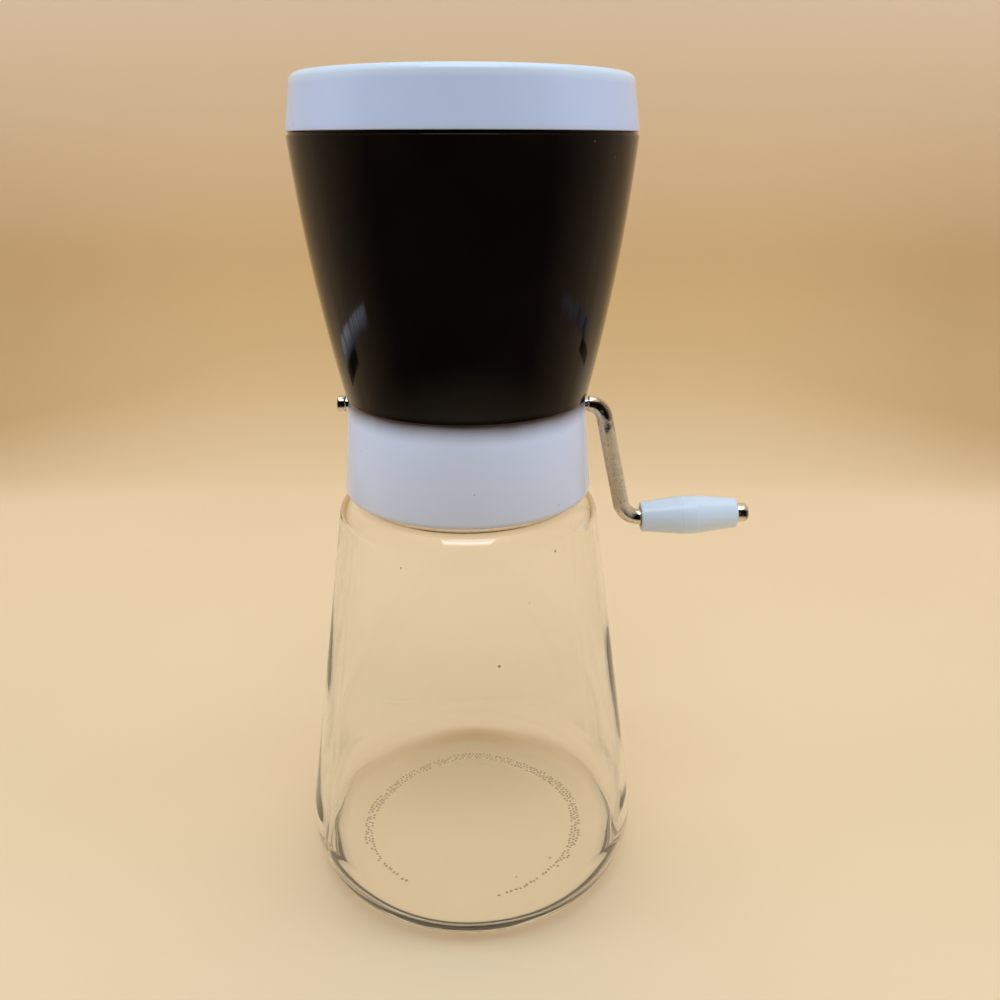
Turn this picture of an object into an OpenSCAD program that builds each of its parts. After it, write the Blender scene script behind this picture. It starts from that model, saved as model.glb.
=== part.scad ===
// Jar-top nut chopper: glass jar, screw collar with the chopping works, hopper, lid and hand crank.
// Millimetres. The jar stands on Z = 0 with its axis on Z, and the crank shaft runs along X.

/* [Jar] */
// Largest diameter, at the top of the rounded heel
jar_d = 89.4; // [84:0.2:96]
// Outer diameter of the flat ring that the jar stands on
jar_base_d = 71.2; // [66:0.2:76]
// Height of the rounded heel
jar_heel_h = 14; // [10:0.5:18]
// Diameter of the hollow under the base
jar_hollow_d = 56; // [48:0.5:62]
// Depth of the hollow under the base
jar_hollow_h = 1.6; // [0.8:0.1:2.4]
// Thickness of the floor above the hollow
jar_floor = 4.4; // [3:0.1:6]
// Rounding between the floor and the side, inside
jar_floor_round = 5; // [3:0.25:8]
// Thickness of the side
jar_wall = 2.8; // [2:0.1:3.4]
// Height of the shoulder
jar_shoulder_h = 107; // [90:0.5:125]
// How far the straight side, if carried up to the shoulder's height, would stand out from the neck
jar_shoulder_w = 5; // [4.2:0.1:7]
// Rounding of the shoulder
jar_shoulder_round = 6; // [3.5:0.25:6.5]

/* [Neck and thread] */
// Diameter of the neck between the turns of its thread
neck_d = 53; // [50:0.2:58]
// Height of the rim above the shoulder
neck_h = 10.2; // [9.6:0.1:12]
// Thickness of the neck
neck_wall = 2.6; // [2:0.1:3]
// Rounding of the rim
rim_round = 0.8; // [0.4:0.1:1]
// Rise of the thread in one turn
thread_pitch = 4.2; // [3.8:0.1:4.6]
// Turns of thread on the neck, and in the collar
thread_turns = 1.25; // [1:0.05:1.4]
// How far a thread stands out
thread_depth = 1.3; // [1:0.05:1.5]
// Width of a thread at its root
thread_root_w = 2.2; // [1.8:0.1:2.4]
// Width of a thread at its crest
thread_crest_w = 1; // [0.6:0.1:1.2]
// Clearance between a thread's crest and the wall that it faces
thread_clear = 0.3; // [0.25:0.05:0.4]
// Axial clearance between the flanks that bear when the collar is tight
flank_clear = 0.25; // [0.2:0.05:0.4]
// Thickness of the ring that seals the jar
seal_t = 1; // [0.6:0.1:1.6]

/* [Collar] */
// Height of the collar
collar_h = 23.4; // [22:0.2:28]
// Depth of the threaded socket, from the bottom edge to the seal
socket_h = 10.5; // [10:0.1:11]
// Wall outside the thread, at the bottom
collar_wall = 2.2; // [1.8:0.1:3]
// How much smaller the radius is at the top than at the bottom
collar_taper = 1.9; // [1:0.1:2.2]
// Rounding of the bottom edge
collar_round = 1.4; // [0.6:0.1:1.6]
// Thickness of the flange over the seal
flange_t = 2; // [1.6:0.1:2.8]
// Thickness of the inner sleeve that carries the combs
sleeve_t = 1.5; // [1.2:0.1:1.8]
// Thickness of the outer wall beside the hopper's spigot
collar_top_wall = 1.8; // [1.5:0.1:2]
// Clearance round the hopper's spigot
spigot_clear = 0.15; // [0.1:0.05:0.2]
// Radius of a boss for a comb screw
boss_r = 2.5; // [2.2:0.1:2.8]
// Distance of a boss from the shaft
boss_y = 17.2; // [16:0.2:18]
// Distance of a boss from the middle, along the shaft
boss_x = 13; // [11:0.2:14]

/* [Hopper and lid] */
// Height of the cone, from the collar to the ledge under the lid
hopper_h = 58.25; // [50:0.25:75]
// Diameter at the ledge
hopper_top_d = 76.5; // [72:0.5:84]
// How far the cone stands out over the collar
hopper_overhang = 0.5; // [0:0.1:1]
// How far the cone's side bows outwards from a straight line
hopper_bow = 1; // [0:0.1:1.6]
// Wall of the cone at its foot
hopper_wall = 2; // [1.6:0.1:2.6]
// Rounding of the cone's bottom edge
hopper_round = 0.7; // [0.3:0.1:1]
// Depth of the spigot inside the collar
spigot_h = 9.4; // [7:0.2:10]
// Height of the bead on the spigot that snaps into the collar
snap_h = 0.25; // [0.2:0.05:0.3]
// Height of the rim that goes up inside the lid
rim_h = 10.45; // [7:0.05:14]
// Wall of that rim
rim_wall = 1.2; // [1.2:0.1:2]
// Gap between the lid's edge and the ledge
lid_gap = 0.7; // [0.3:0.1:1]
// Thickness of the lid's top
lid_top = 1.6; // [1.2:0.1:2.4]
// Thickness of the lid's side
lid_wall = 1.6; // [1.2:0.1:2]
// How much smaller the lid's radius is at the top of its straight side
lid_draft = 1.45; // [0.6:0.05:2]
// Height of the lid's rounded upper edge
lid_round_h = 1.6; // [1:0.1:3]
// Width of the lid's rounded upper edge
lid_round_w = 1.6; // [1:0.1:3]
// Clearance between the lid and the rim
lid_clear = 0.2; // [0.15:0.05:0.4]

/* [Crank] */
// Diameter of the rod
rod_d = 4; // [3.8:0.1:4.4]
// Diameter of the two necks that turn in the bearings
journal_d = 3.4; // [3:0.1:3.6]
// Depth of the shaft's axis below the collar's top edge
shaft_drop = 2.4; // [2.2:0.1:2.8]
// Clearance round a neck in its bearing
journal_clear = 0.06; // [0.03:0.01:0.09]
// Gap between the collar and the rod's shoulder, on each side
end_play = 0.8; // [0.4:0.1:1]
// Length of the upset end of the shaft
stub_l = 2; // [1.5:0.1:3]
// Width across the flats of the shaft between the bearings
flats_w = 3; // [2.6:0.1:3.2]
// Height from the shaft down to the corner of the lower elbow
crank_drop = 29.85; // [26:0.05:36]
// Lean of the arm, away from the jar
arm_lean = 12.6; // [8:0.2:16]
// Radius of the upper elbow, at the rod's middle
elbow_top_r = 4.2; // [4:0.1:6]
// Radius of the lower elbow, at the rod's middle
elbow_low_r = 4.8; // [4:0.1:6]
// Upward tilt of the grip
grip_tilt = 2.6; // [0:0.1:6]
// Length of the grip
grip_l = 24; // [20:0.5:34]
// Diameter of the grip at its ends
grip_end_d = 7.5; // [6.6:0.1:9]
// Diameter of the grip in the middle
grip_mid_d = 9.8; // [9.2:0.1:13]
// Length of the grip's cylindrical middle
grip_band_l = 3; // [1:0.5:6]
// Rounding of the grip's end edges
grip_round = 0.4; // [0.2:0.1:0.6]
// Clearance between the grip and the rod
grip_clear = 0.08; // [0.04:0.01:0.09]
// End play of the grip, on each side
grip_play = 0.3; // [0.2:0.1:0.6]
// Diameter of the recess in the grip's inner end
grip_recess_d = 5.6; // [5:0.1:6]
// Depth of that recess
grip_recess_h = 1.6; // [1:0.1:3]
// Diameter of the rod's upset end outside the grip
head_d = 4.7; // [4.5:0.1:6]
// Length of that upset end
head_l = 2.9; // [2:0.1:4]

/* [Chopping works] */
// Number of blades on the shaft
blade_count = 7; // [5:2:7]
// Distance from one blade to the next
blade_pitch = 6.2; // [5.8:0.1:6.3]
// Thickness of a blade
blade_t = 1.2; // [1:0.1:1.4]
// Radius of a blade's tips
blade_r = 11.8; // [10:0.1:12]
// Number of arms on a blade
blade_arms = 4; // [3:1:5]
// Radius of a blade's hub
hub_r = 4.2; // [3.8:0.1:5]
// Width of an arm at the hub
arm_root_w = 4; // [3:0.1:4.6]
// Width of an arm at the tip
arm_tip_w = 2.2; // [1.6:0.1:2.8]
// Angle between the shaft's flats and a blade's first arm, turned the other way on every second blade
blade_turn = 22.5; // [0:0.5:45]
// Radius of a spacer
spacer_r = 3.5; // [3.2:0.1:4]
// Clearance of blades and spacers on the shaft
stack_clear = 0.05; // [0.03:0.01:0.1]
// Gap between the stack and the sleeve, on each side
stack_play = 0.4; // [0.3:0.1:0.6]
// Thickness of the combs
comb_t = 1.2; // [1:0.1:1.6]
// Clearance between the combs and the hopper's spigot
comb_clear = 0.25; // [0.2:0.05:0.4]
// Gap between a blade's tips and the combs' back edges
tip_clear = 1; // [0.6:0.1:1.4]
// Gap between a comb's teeth and the spacers
tooth_clear = 0.6; // [0.4:0.1:1]
// Gap between a blade and the next tooth of the coarse comb
coarse_gap = 1.3; // [1:0.1:1.5]
// Gap between a blade and the next tooth of the fine comb
fine_gap = 0.5; // [0.4:0.05:0.7]
// Gap between the two teeth that share a space in the fine comb
fine_slot = 1.2; // [0.8:0.1:1.4]
// Radius of a comb screw's shank
screw_r = 1.2; // [1:0.05:1.3]
// Clearance round a screw's shank
screw_clear = 0.05; // [0.03:0.01:0.1]
// Length of a screw below its head
screw_l = 8; // [6:0.2:9]
// Radius of a screw's head
screw_head_r = 2.2; // [1.9:0.1:2.4]
// Height of a screw's head
screw_head_h = 1.4; // [1.2:0.1:1.6]

/* [Hidden] */
$fn = 96;
arc_steps = 16;
thread_sides = 40;
thread_fade = 5;
overlap = 0.4;
bend_thinning = 0.1;
bend_lap = 0.3;

// Heights
rim_z = jar_shoulder_h + neck_h;
seal_top_z = rim_z + seal_t;
collar_z = seal_top_z - socket_h;
collar_top_z = collar_z + collar_h;
shaft_z = collar_top_z - shaft_drop;
sleeve_top_z = shaft_z - comb_t / 2;
comb_top_z = sleeve_top_z + comb_t;
spigot_z = collar_top_z - spigot_h;
ledge_z = collar_top_z + hopper_h;
hopper_rim_z = ledge_z + rim_h;
lid_z = ledge_z + lid_gap;
lid_top_z = hopper_rim_z + lid_top;

// Radii round the Z axis
jar_r = jar_d / 2;
jar_base_r = jar_base_d / 2;
jar_hollow_r = jar_hollow_d / 2;
neck_r = neck_d / 2;
mouth_r = neck_r - neck_wall;
neck_thread_r = neck_r + thread_depth;
socket_r = neck_thread_r + thread_clear;
collar_thread_r = neck_r + thread_clear;
collar_r = socket_r + collar_wall;
collar_top_r = collar_r - collar_taper;
sleeve_r = mouth_r + sleeve_t;
collar_bore_r = collar_top_r - collar_top_wall;
spigot_r = collar_bore_r - spigot_clear;
spigot_inner_r = sleeve_r + spigot_clear;
hopper_r = collar_top_r + hopper_overhang;
hopper_top_r = hopper_top_d / 2;
lid_shoulder_r = hopper_top_r - lid_draft;
rim_r = lid_shoulder_r - lid_wall - lid_clear;
rim_inner_r = rim_r - rim_wall;
comb_r = spigot_inner_r - comb_clear;

// Lower ends of the neck's thread and of the collar's, and the angle where the second hooks under the first
thread_mid_w = (thread_root_w + thread_crest_w) / 2;
neck_thread_z = rim_z - 2 * rim_round - thread_crest_w / 2 - thread_pitch * thread_turns;
collar_thread_z = collar_z + thread_root_w / 2 + flank_clear;
hook_angle = 360 * (collar_thread_z + thread_mid_w + flank_clear - neck_thread_z) / thread_pitch;

// Straight side of the jar
jar_lean = (jar_r - neck_r - jar_shoulder_w) / (jar_shoulder_h - jar_heel_h);
jar_lean_deg = atan(jar_lean);
function jar_side(z) = jar_r - jar_lean * (z - jar_heel_h);

// Crank, in the plane Y = 0
rod_r = rod_d / 2;
journal_r = journal_d / 2;
bearing_r = journal_r + journal_clear;
collar_shaft_r = collar_top_r + collar_taper * shaft_drop / collar_h;
shoulder_x = collar_shaft_r + end_play;
journal_x = mouth_r - stack_play / 2;
top_turn = 90 - arm_lean;
top_tangent = elbow_top_r * tan(top_turn / 2);
top_corner_x = shoulder_x + top_tangent;
low_turn = top_turn + grip_tilt;
low_tangent = elbow_low_r * tan(low_turn / 2);
low_corner_x = top_corner_x + crank_drop * tan(arm_lean);
low_corner_z = shaft_z - crank_drop;
arm_l = crank_drop / cos(arm_lean) - top_tangent - low_tangent;
grip_start = low_tangent + grip_play;
spindle_l = grip_l + 2 * grip_play;

// Rotor stack, along X
stack_half = (blade_count - 1) / 2 * blade_pitch;
stack_end_x = sqrt(pow(mouth_r, 2) - pow(spacer_r, 2)) - stack_play;
space_w = blade_pitch - blade_t;
end_space_w = stack_end_x - stack_half - blade_t / 2;
comb_back_y = blade_r + tip_clear;
tooth_tip_y = spacer_r + tooth_clear;
coarse_tooth_w = space_w - 2 * coarse_gap;
fine_tooth_w = (space_w - 2 * fine_gap - fine_slot) / 2;
fine_tooth_x = (fine_slot + fine_tooth_w) / 2;

// Middles of the spaces between blades
SPACES = [for (i = [1:blade_count - 1]) (i - 0.5) * blade_pitch - stack_half];

// Names of the pieces, and the one that is drawn
BLADES = [for (i = [1:blade_count]) str("blade_", i)];
SPACERS = [for (i = [1:blade_count + 1]) str("spacer_", i)];

// Points of an elliptical arc round a centre, from one angle to another
function arc(centre, width, height, from, to) = [
    for (i = [0:arc_steps])
        let (a = from + (to - from) * i / arc_steps)
        centre + [width * cos(a), height * sin(a)]
];

// Points after the first on a line that bows to its right by a height in the middle
function bowed(from, to, bow) = [
    for (i = [1:arc_steps])
        let (t = i / arc_steps, along = to - from, right = [along[1], -along[0]] / norm(along))
        from + t * along + 4 * t * (1 - t) * bow * right
];

// One ridge of thread, wound upwards round the Z axis, that sinks into its wall at both ends
module thread_ridge(root_r, crest_r, start_z, start_angle) {
    steps = round(thread_turns * thread_sides);
    function share(i) = max(0.15, min(1, i / thread_fade, (steps - i) / thread_fade));
    function corner(r, z, a) = [r * cos(a), r * sin(a), z];
    points = [
        for (i = [0:steps])
            let (
                a = start_angle + 360 * thread_turns * i / steps,
                z = start_z + thread_pitch * thread_turns * i / steps,
                tip_r = root_r + (crest_r - root_r) * share(i),
                tip_w = thread_root_w + (thread_crest_w - thread_root_w) * share(i)
            )
            each [
                corner(root_r, z - thread_root_w / 2, a),
                corner(tip_r, z - tip_w / 2, a),
                corner(tip_r, z + tip_w / 2, a),
                corner(root_r, z + thread_root_w / 2, a)
            ]
    ];
    sides = [
        for (i = [0:steps - 1], k = [0:3])
            let (
                a = 4 * i + k,
                b = 4 * i + (k + 1) % 4
            )
            each [[a, b, b + 4], [a, b + 4, a + 4]]
    ];
    last = 4 * steps;
    ends = [[0, 2, 1], [0, 3, 2], [last, last + 1, last + 2], [last, last + 2, last + 3]];
    faces = concat(sides, ends);
    outward = crest_r > root_r;
    polyhedron(points, outward ? faces : [for (f = faces) [f[0], f[2], f[1]]]);
}

// Double-D section of the shaft between its bearings, with a clearance
module flats_section(clear) {
    intersection() {
        circle(rod_r + clear);
        square([2 * rod_d, flats_w + 2 * clear], center = true);
    }
}

// A solid of one section along X, from x by a length
module along_x(x, length) {
    translate([x, 0, shaft_z])
        rotate([90, 0, 90])
            linear_extrude(length)
                children();
}

// A round bar along X at the height of the shaft
module bar(x, length, r) {
    translate([x, 0, shaft_z])
        rotate([0, 90, 0])
            cylinder(h = length, r = r);
}

// Glass jar with a rounded heel, a straight side, a rounded shoulder and a screw neck
module jar() {
    heel_w = jar_r - jar_base_r;
    heel_end = atan(jar_lean * jar_heel_h / heel_w);
    shoulder_c = [
        jar_side(jar_shoulder_h - jar_shoulder_round) - jar_shoulder_round / cos(jar_lean_deg),
        jar_shoulder_h - jar_shoulder_round
    ];
    shoulder_step = max(0, neck_r - shoulder_c[0]);
    shoulder_end = acos(shoulder_step / jar_shoulder_round);
    floor_z = jar_hollow_h + jar_floor;
    inner_round = jar_shoulder_round - jar_wall;
    inner_top_z = jar_shoulder_h - jar_wall;
    floor_c = [
        jar_side(floor_z + jar_floor_round) - jar_wall - jar_floor_round,
        floor_z + jar_floor_round
    ];
    outline = concat(
        [[0, jar_hollow_h], [jar_hollow_r, 0]],
        arc([jar_base_r, jar_heel_h], heel_w, jar_heel_h, -90, heel_end),
        arc(shoulder_c, jar_shoulder_round, jar_shoulder_round, jar_lean_deg, shoulder_end),
        shoulder_step > 0 ? [] : [[neck_r, jar_shoulder_h]],
        arc([neck_r - rim_round, rim_z - rim_round], rim_round, rim_round, 0, 90),
        arc([mouth_r + rim_round, rim_z - rim_round], rim_round, rim_round, 90, 180),
        [[mouth_r, inner_top_z]],
        arc([shoulder_c[0], inner_top_z - inner_round], inner_round, inner_round, 90, jar_lean_deg),
        arc(floor_c, jar_floor_round, jar_floor_round, jar_lean_deg, -90),
        [[0, floor_z]]
    );
    color([0.86, 0.9, 0.86, 0.35])
        union() {
            rotate_extrude()
                polygon(outline);
            thread_ridge(neck_r - overlap, neck_thread_r, neck_thread_z, 0);
        }
}

// Flat ring between the jar's rim and the collar's flange
module jar_seal() {
    color("gainsboro")
        translate([0, 0, rim_z])
            difference() {
                cylinder(h = seal_t, r = neck_r);
                translate([0, 0, -seal_t])
                    cylinder(h = 3 * seal_t, r = mouth_r);
            }
}

// Centres of the bosses and of the screws in them
module at_bosses() {
    for (x = [-boss_x, boss_x], y = [-boss_y, boss_y])
        translate([x, y, 0])
            children();
}

// White screw collar: outer wall, flange over the seal, inner sleeve for the combs and open-topped bearings
module collar() {
    flange_top_z = seal_top_z + flange_t;
    screw_end_z = comb_top_z - screw_l - screw_clear;
    bead_z = spigot_z + 2 * snap_h;
    outline = concat(
        [[socket_r, collar_z]],
        arc([collar_r - collar_round, collar_z + collar_round], collar_round, collar_round, -90, 0),
        [
            [collar_top_r, collar_top_z],
            [collar_bore_r, collar_top_z],
            [collar_bore_r, bead_z + 2 * snap_h],
            [collar_bore_r + snap_h, bead_z + snap_h],
            [collar_bore_r + snap_h, bead_z - snap_h],
            [collar_bore_r, bead_z - 2 * snap_h],
            [collar_bore_r, flange_top_z],
            [sleeve_r, flange_top_z],
            [sleeve_r, sleeve_top_z],
            [mouth_r, sleeve_top_z],
            [mouth_r, seal_top_z],
            [socket_r, seal_top_z]
        ]
    );
    color("lavender")
        union() {
            difference() {
                union() {
                    rotate_extrude()
                        polygon(outline);
                    intersection() {
                        at_bosses()
                            translate([0, 0, seal_top_z])
                                cylinder(h = sleeve_top_z - seal_top_z, r = boss_r);
                        cylinder(h = collar_top_z, r = mouth_r + sleeve_t / 2);
                    }
                }
                at_bosses()
                    translate([0, 0, screw_end_z])
                        cylinder(h = screw_l, r = screw_r + screw_clear);
                for (side = [-1, 1])
                    bearing_slot(side, 1);
            }
            thread_ridge(socket_r + overlap, collar_thread_r, collar_thread_z, hook_angle);
        }
}

// Round-ended slot for a shaft neck, open upwards (1) or downwards (-1), on one side of the axis
module bearing_slot(side, way) {
    slot_l = collar_r;
    translate([0, 0, shaft_z])
        rotate([0, 90 * side, 0])
            cylinder(h = slot_l, r = bearing_r);
    translate([side > 0 ? 0 : -slot_l, -bearing_r, way > 0 ? shaft_z : shaft_z - spigot_h])
        cube([slot_l, 2 * bearing_r, spigot_h]);
}

// Black conical hopper with a spigot that closes the bearings from above and a rim for the lid
module hopper() {
    bead_z = spigot_z + 2 * snap_h;
    foot_z = collar_top_z + hopper_wall;
    outline = concat(
        [
            [spigot_inner_r, spigot_z],
            [spigot_r - snap_h, spigot_z],
            [spigot_r, bead_z - snap_h],
            [spigot_r + snap_h, bead_z],
            [spigot_r, bead_z + snap_h],
            [spigot_r, collar_top_z]
        ],
        arc([hopper_r - hopper_round, collar_top_z + hopper_round], hopper_round, hopper_round, -90, 0),
        bowed([hopper_r, collar_top_z + hopper_round], [hopper_top_r, ledge_z], hopper_bow),
        [
            [rim_r, ledge_z],
            [rim_r, hopper_rim_z],
            [rim_inner_r, hopper_rim_z],
            [rim_inner_r, ledge_z - hopper_wall]
        ],
        bowed([rim_inner_r, ledge_z - hopper_wall], [hopper_r - hopper_wall, foot_z], -hopper_bow),
        [[spigot_inner_r, collar_top_z]]
    );
    color([0.09, 0.06, 0.05])
        difference() {
            rotate_extrude()
                polygon(outline);
            for (side = [-1, 1])
                bearing_slot(side, -1);
        }
}

// White cap with a drafted side and a rounded upper edge, resting on the hopper's rim
module lid() {
    round_z = lid_top_z - lid_round_h;
    inner_r = lid_shoulder_r - lid_wall;
    outline = concat(
        [[hopper_top_r - lid_wall, lid_z], [hopper_top_r, lid_z]],
        arc([lid_shoulder_r - lid_round_w, round_z], lid_round_w, lid_round_h, 0, 90),
        [[0, lid_top_z], [0, hopper_rim_z], [inner_r, hopper_rim_z]]
    );
    color("aliceblue")
        rotate_extrude()
            polygon(outline);
}

// Follows the rod from the shaft to the start of the grip's spindle
module at_arm() {
    translate([top_corner_x, 0, shaft_z])
        rotate([0, top_turn, 0])
            children();
}

module at_spindle() {
    translate([low_corner_x, 0, low_corner_z])
        rotate([0, -grip_tilt, 0])
            children();
}

// A bend of the rod in the plane Y = 0: it starts at the origin along X and turns towards -Z (1) or +Z (-1)
module elbow(r, turn, way) {
    translate([0, 0, -way * r])
        rotate([90, 0, 0])
            rotate([0, 0, way > 0 ? 90 - turn : -90])
                rotate_extrude(angle = turn)
                    translate([r, 0])
                        circle(rod_r - bend_thinning);
}

// One bent steel rod: shaft with flats and two necks, arm, and spindle with an upset end
module crank_rod() {
    journal_l = shoulder_x - journal_x + 2 * overlap;
    color("silver")
        union() {
            bar(-shoulder_x - stub_l, stub_l, rod_r);
            bar(-shoulder_x - overlap, journal_l, journal_r);
            along_x(-journal_x, 2 * journal_x)
                flats_section(0);
            bar(journal_x - overlap, journal_l, journal_r);
            translate([shoulder_x, 0, shaft_z])
                elbow(elbow_top_r, top_turn, 1);
            at_arm()
                translate([top_tangent - bend_lap, 0, 0])
                    rotate([0, 90, 0])
                        cylinder(h = arm_l + 2 * bend_lap, r = rod_r);
            at_arm()
                translate([top_tangent + arm_l, 0, 0])
                    elbow(elbow_low_r, low_turn, -1);
            at_spindle()
                translate([low_tangent, 0, 0])
                    rotate([0, 90, 0])
                        spindle();
        }
}

// Spindle along Z with its upset, rounded end
module spindle() {
    head_r = head_d / 2;
    edge = head_r / 2;
    end = spindle_l + head_l;
    outline = concat(
        [[0, -bend_lap], [rod_r, -bend_lap], [rod_r, spindle_l], [head_r, spindle_l]],
        arc([head_r - edge, end - edge], edge, edge, 0, 90),
        [[0, end]]
    );
    rotate_extrude()
        polygon(outline);
}

// White sleeve, tapered towards both ends, that turns on the spindle
module crank_grip() {
    end_r = grip_end_d / 2;
    bore_r = rod_r + grip_clear;
    recess_r = grip_recess_d / 2;
    outline = concat(
        [[bore_r, grip_recess_h], [recess_r, grip_recess_h], [recess_r, 0]],
        arc([end_r - grip_round, grip_round], grip_round, grip_round, -90, 0),
        [[grip_mid_d / 2, (grip_l - grip_band_l) / 2], [grip_mid_d / 2, (grip_l + grip_band_l) / 2]],
        arc([end_r - grip_round, grip_l - grip_round], grip_round, grip_round, 0, 90),
        [[bore_r, grip_l]]
    );
    color("white")
        at_spindle()
            translate([grip_start, 0, 0])
                rotate([0, 90, 0])
                    rotate_extrude()
                        polygon(outline);
}

// Stamped blade with tapered arms, one of a row on the shaft's flats
module blade(i) {
    x = (i - 1) * blade_pitch - stack_half;
    way = i % 2 == 0 ? 1 : -1;
    color("lightsteelblue")
        along_x(x - blade_t / 2, blade_t)
            difference() {
                rotate(way * blade_turn)
                    union() {
                        circle(hub_r);
                        for (k = [0:blade_arms - 1])
                            rotate(k * 360 / blade_arms)
                                blade_arm();
                    }
                flats_section(stack_clear);
            }
}

// One arm of a blade along +X, with its corners on the tip circle
module blade_arm() {
    tip_x = sqrt(pow(blade_r, 2) - pow(arm_tip_w / 2, 2));
    polygon([
        [0, -arm_root_w / 2],
        [tip_x, -arm_tip_w / 2],
        [tip_x, arm_tip_w / 2],
        [0, arm_root_w / 2]
    ]);
}

// Tube between two blades, or between an end blade and a bearing
module spacer(i) {
    first = i == 1;
    last = i == blade_count + 1;
    x = first ? -stack_end_x : (i - 2) * blade_pitch - stack_half + blade_t / 2;
    length = first || last ? end_space_w : space_w;
    color("darkgray")
        along_x(x, length)
            difference() {
                circle(spacer_r);
                circle(rod_r + stack_clear);
            }
}

// Fixed comb plate on the sleeve, on the +Y side: a round-backed plate with teeth between the blades
module comb(tooth_w, tooth_xs) {
    translate([0, 0, sleeve_top_z])
        difference() {
            linear_extrude(comb_t)
                intersection() {
                    circle(comb_r);
                    union() {
                        translate([-comb_r, comb_back_y])
                            square(2 * comb_r);
                        for (x = tooth_xs)
                            translate([x - tooth_w / 2, tooth_tip_y])
                                square([tooth_w, comb_back_y - tooth_tip_y + overlap]);
                    }
                }
            for (x = [-boss_x, boss_x])
                translate([x, boss_y, -comb_t])
                    cylinder(h = 3 * comb_t, r = screw_r + screw_clear);
        }
}

// One tooth in each space, and one outside each end blade
module comb_coarse() {
    end_x = stack_half + blade_t / 2 + coarse_gap + coarse_tooth_w / 2;
    color("gainsboro")
        mirror([0, 1, 0])
            comb(coarse_tooth_w, concat([-end_x], SPACES, [end_x]));
}

// Two narrow teeth in each space, and one outside each end blade
module comb_fine() {
    end_x = stack_half + blade_t / 2 + fine_gap + fine_tooth_w / 2;
    pairs = [for (x = SPACES) each [x - fine_tooth_x, x + fine_tooth_x]];
    color("gainsboro")
        comb(fine_tooth_w, concat([-end_x], pairs, [end_x]));
}

// Four slotted screws that hold the combs down on the bosses
module comb_screws() {
    slot_w = screw_head_r / 3;
    color("silver")
        at_bosses()
            translate([0, 0, comb_top_z])
                difference() {
                    union() {
                        cylinder(h = screw_head_h, r = screw_head_r);
                        translate([0, 0, -screw_l])
                            cylinder(h = screw_l + overlap, r = screw_r);
                    }
                    translate([-2 * screw_head_r, -slot_w / 2, screw_head_h / 2])
                        cube([4 * screw_head_r, slot_w, screw_head_h]);
                }
}

jar();
jar_seal();
collar();
hopper();
lid();
crank_rod();
crank_grip();
comb_coarse();
comb_fine();
comb_screws();
for (i = [1:blade_count])
    blade(i);
for (i = [1:blade_count + 1])
    spacer(i);
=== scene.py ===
"""Looks of a jar-top nut chopper: materials, finer meshes for the turned and bent pieces, studio and camera.

Sizes of the object are in millimetres and become metres through MM. The studio is in metres. The jar
stands on Z = 0 with its axis on Z, and the crank shaft runs along X. The jar, the hopper, the lid, the
crank rod and the grip get finer meshes that follow their solids' outlines, apart from the glass's inside
and the hopper's lip under the lid. Every other node keeps its own shape and gets a material.
"""

import math

import bmesh
import bpy
from mathutils import Matrix, Vector


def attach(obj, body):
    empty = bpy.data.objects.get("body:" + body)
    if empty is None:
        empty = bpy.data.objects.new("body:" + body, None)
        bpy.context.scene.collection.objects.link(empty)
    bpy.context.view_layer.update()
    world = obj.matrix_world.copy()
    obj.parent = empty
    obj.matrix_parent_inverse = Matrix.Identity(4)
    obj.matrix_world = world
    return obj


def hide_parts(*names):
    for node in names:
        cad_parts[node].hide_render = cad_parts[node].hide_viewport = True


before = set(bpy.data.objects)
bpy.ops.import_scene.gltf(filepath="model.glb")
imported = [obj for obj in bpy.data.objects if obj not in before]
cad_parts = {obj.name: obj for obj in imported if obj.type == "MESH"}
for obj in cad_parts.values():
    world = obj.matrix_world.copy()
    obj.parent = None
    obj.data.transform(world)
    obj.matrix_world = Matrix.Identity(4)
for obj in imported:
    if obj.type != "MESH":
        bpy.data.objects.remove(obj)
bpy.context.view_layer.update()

MM = 0.001
TURN = 2 * math.pi

# Jar
JAR_R = 44.7
JAR_BASE_R = 35.6
JAR_HEEL_H = 14.0
JAR_HOLLOW_R = 28.0
JAR_HOLLOW_H = 1.6
JAR_STAND_R = 33.5
JAR_FLOOR_Z = 6.0
JAR_FLOOR_ROUND_W = 2.4
JAR_FLOOR_ROUND_H = 6.0
JAR_WALL = 1.6
JAR_SHOULDER_H = 107.0
JAR_SHOULDER_W = 5.0
JAR_SHOULDER_ROUND = 6.0
NECK_R = 26.5
NECK_STEP = 0.25
MOUTH_R = 23.9
RIM_Z = 117.2
RIM_ROUND = 0.8
BORE_ROUND = 1.6
JAR_LEAN = (JAR_R - NECK_R - JAR_SHOULDER_W) / (JAR_SHOULDER_H - JAR_HEEL_H)
JAR_LEAN_ANGLE = math.atan(JAR_LEAN)

# Waves of the pressed glass: share, number round the jar, turn for each millimetre of height, and phase
RIPPLE_WAVES = ((0.5, 3, 0.05, 1.0), (0.3, 5, -0.09, 2.1), (0.2, 11, 0.13, 4.0))

# How high the waves are outside, inside and on the floor, and where they fade out
OUTER_RIPPLE = 0.05
OUTER_RIPPLE_LOW_Z = 4.0
OUTER_RIPPLE_HIGH_Z = 104.0
OUTER_RIPPLE_FADE = 12.0
OUTER_RIPPLE_STRETCH = 1.4
INNER_RIPPLE = 0.2
INNER_RIPPLE_HIGH_Z = 100.0
INNER_RIPPLE_FADE = 30.0
FLOOR_RIPPLE = 0.1
FLOOR_RIPPLE_FADE = 12.0

# Thread on the jar's neck
THREAD_Z = 109.85
THREAD_PITCH = 4.2
THREAD_TURNS = 1.25
THREAD_DEPTH = 1.3
THREAD_HALF_ROOT = 1.1
THREAD_HALF_CREST = 0.5
THREAD_FADE = TURN / 9

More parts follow.
